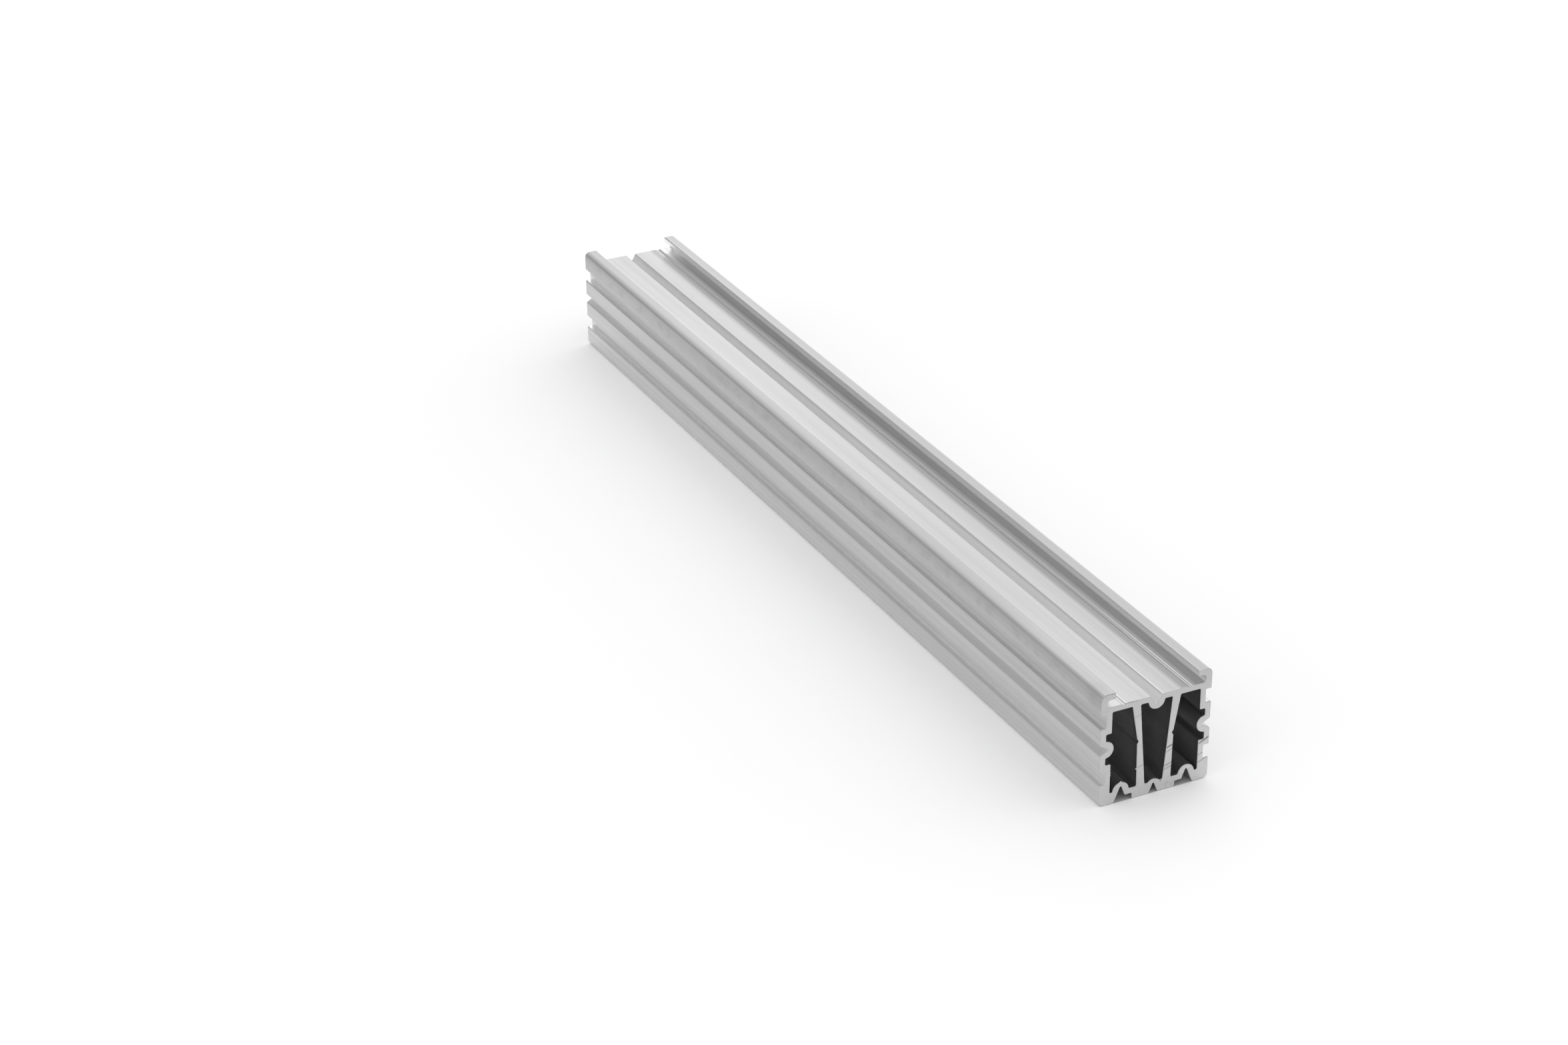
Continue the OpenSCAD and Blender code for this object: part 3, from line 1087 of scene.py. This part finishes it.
def set_world(props):
    """A pale surround with an arch across the bar, two dim parts as a room has, and a soft bright part."""
    world = bpy.data.worlds.new("pale_surround")
    bpy.context.scene.world = world
    world.use_nodes = True
    make = NodeMaker(world.node_tree)
    direction = make.add("ShaderNodeTexCoord").outputs["Generated"]
    along = make.add("ShaderNodeSeparateXYZ", {0: direction}).outputs["X"]
    across = make.maths("SUBTRACT", 1.0, make.maths("MULTIPLY", along, along))
    arch = make.maths("MULTIPLY", make.maths("MULTIPLY", across, across), props.arch_light)
    strength = make.maths("ADD", arch, props.sky_light)
    for dim_way, dimming, spread in (
        (props.back_way, props.back_dimming, props.back_spread),
        (props.front_way, props.front_dimming, props.front_spread),
    ):
        lost = make.maths("MULTIPLY", make.toward(direction, dim_way, spread), dimming)
        strength = make.maths("MULTIPLY", make.maths("SUBTRACT", 1.0, lost), strength)
    soft = make.toward(direction, props.soft_way, props.soft_spread)
    strength = make.changed(strength, (soft, props.soft_light))
    light = make.add("ShaderNodeBackground", {"Color": (1, 1, 1, 1), "Strength": strength})
    make.add("ShaderNodeOutputWorld", {"Surface": light.outputs["Background"]})


def add_floor(props):
    """A plain pale floor, shaded where the bar lies on it."""
    bpy.ops.mesh.primitive_plane_add(size=props.floor_size)
    floor = bpy.context.object
    floor.name = "pale_floor"
    material = bpy.data.materials.new("pale_floor")
    material.use_nodes = True
    make = NodeMaker(material.node_tree)
    along = make.maths("LESS_THAN", make.from_middle("X"), HALF_LENGTH)
    across = make.maths("LESS_THAN", make.from_middle("Y"), BAR_HIGH.y - FOOT_EDGE)
    under = make.maths("MULTIPLY", make.maths("MULTIPLY", along, across), props.under_shade)
    left = make.maths("SUBTRACT", 1.0, under)
    tone = make.add("ShaderNodeVectorMath", {0: tuple(props.floor_colour), "Scale": left}, operation="SCALE")
    shader = make.add("ShaderNodeBsdfDiffuse", {"Color": tone.outputs[0]})
    make.add("ShaderNodeOutputMaterial", {"Surface": shader.outputs["BSDF"]})
    floor.data.materials.append(material)


class EXTRUSION_OT_stage(bpy.types.Operator):
    """Sets the camera, the lamps, the surround and the floor"""

    bl_idname = "extrusion.stage"
    bl_label = "Set the stage"

    def execute(self, context):
        props = context.scene.extrusion_stage
        deselect_all()
        set_camera(props)
        set_world(props)
        add_floor(props)
        add_lamp("key_lamp", props.key_place, props.key_aim, props.key_size, props.key_power)
        add_lamp("edge_lamp", props.edge_place, props.edge_aim, props.edge_size, props.edge_power)
        context.scene.view_settings.view_transform = "Standard"
        return {"FINISHED"}


class EXTRUSION_OT_bar(bpy.types.Operator):
    """Dresses the bar"""

    bl_idname = "extrusion.bar"
    bl_label = "Dress the bar"

    def execute(self, context):
        finish = context.scene.extrusion_finish
        sizes = context.scene.extrusion_bar
        streaks, smudges = streak_effect(), smudge_effect()
        finishes = (
            mill_finish(finish, streaks, smudges),
            sawn_finish(finish, sizes, smudges),
            chamber_finish(finish, streaks, smudges),
            rim_finish(finish, smudges),
        )
        dress_bar(sizes, finishes)
        return {"FINISHED"}


class EXTRUSION_PT_panel(bpy.types.Panel):
    """Lists the bar's and the stage's values and tools"""

    bl_idname = "EXTRUSION_PT_panel"
    bl_label = "Sawn extrusion bar"
    bl_space_type = "VIEW_3D"
    bl_region_type = "UI"
    bl_category = "Extrusion"

    def draw(self, context):
        scene = context.scene
        self.list_tool(EXTRUSION_OT_bar, scene.extrusion_bar, scene.extrusion_finish)
        self.list_tool(EXTRUSION_OT_stage, scene.extrusion_stage)

    def list_tool(self, operator, *groups):
        box = self.layout.box()
        for group in groups:
            for name in type(group).__annotations__:
                box.prop(group, name)
        box.operator(operator.bl_idname)


CLASSES = (
    BarProperties,
    FinishProperties,
    StageProperties,
    EXTRUSION_OT_bar,
    EXTRUSION_OT_stage,
    EXTRUSION_PT_panel,
)


def register():
    for one in CLASSES:
        bpy.utils.register_class(one)
    bpy.types.Scene.extrusion_bar = PointerProperty(type=BarProperties)
    bpy.types.Scene.extrusion_finish = PointerProperty(type=FinishProperties)
    bpy.types.Scene.extrusion_stage = PointerProperty(type=StageProperties)


def unregister():
    del bpy.types.Scene.extrusion_stage
    del bpy.types.Scene.extrusion_finish
    del bpy.types.Scene.extrusion_bar
    for one in reversed(CLASSES):
        bpy.utils.unregister_class(one)


def main():
    register()
    bpy.ops.extrusion.bar()
    bpy.ops.extrusion.stage()


if __name__ == "__main__":
    main()
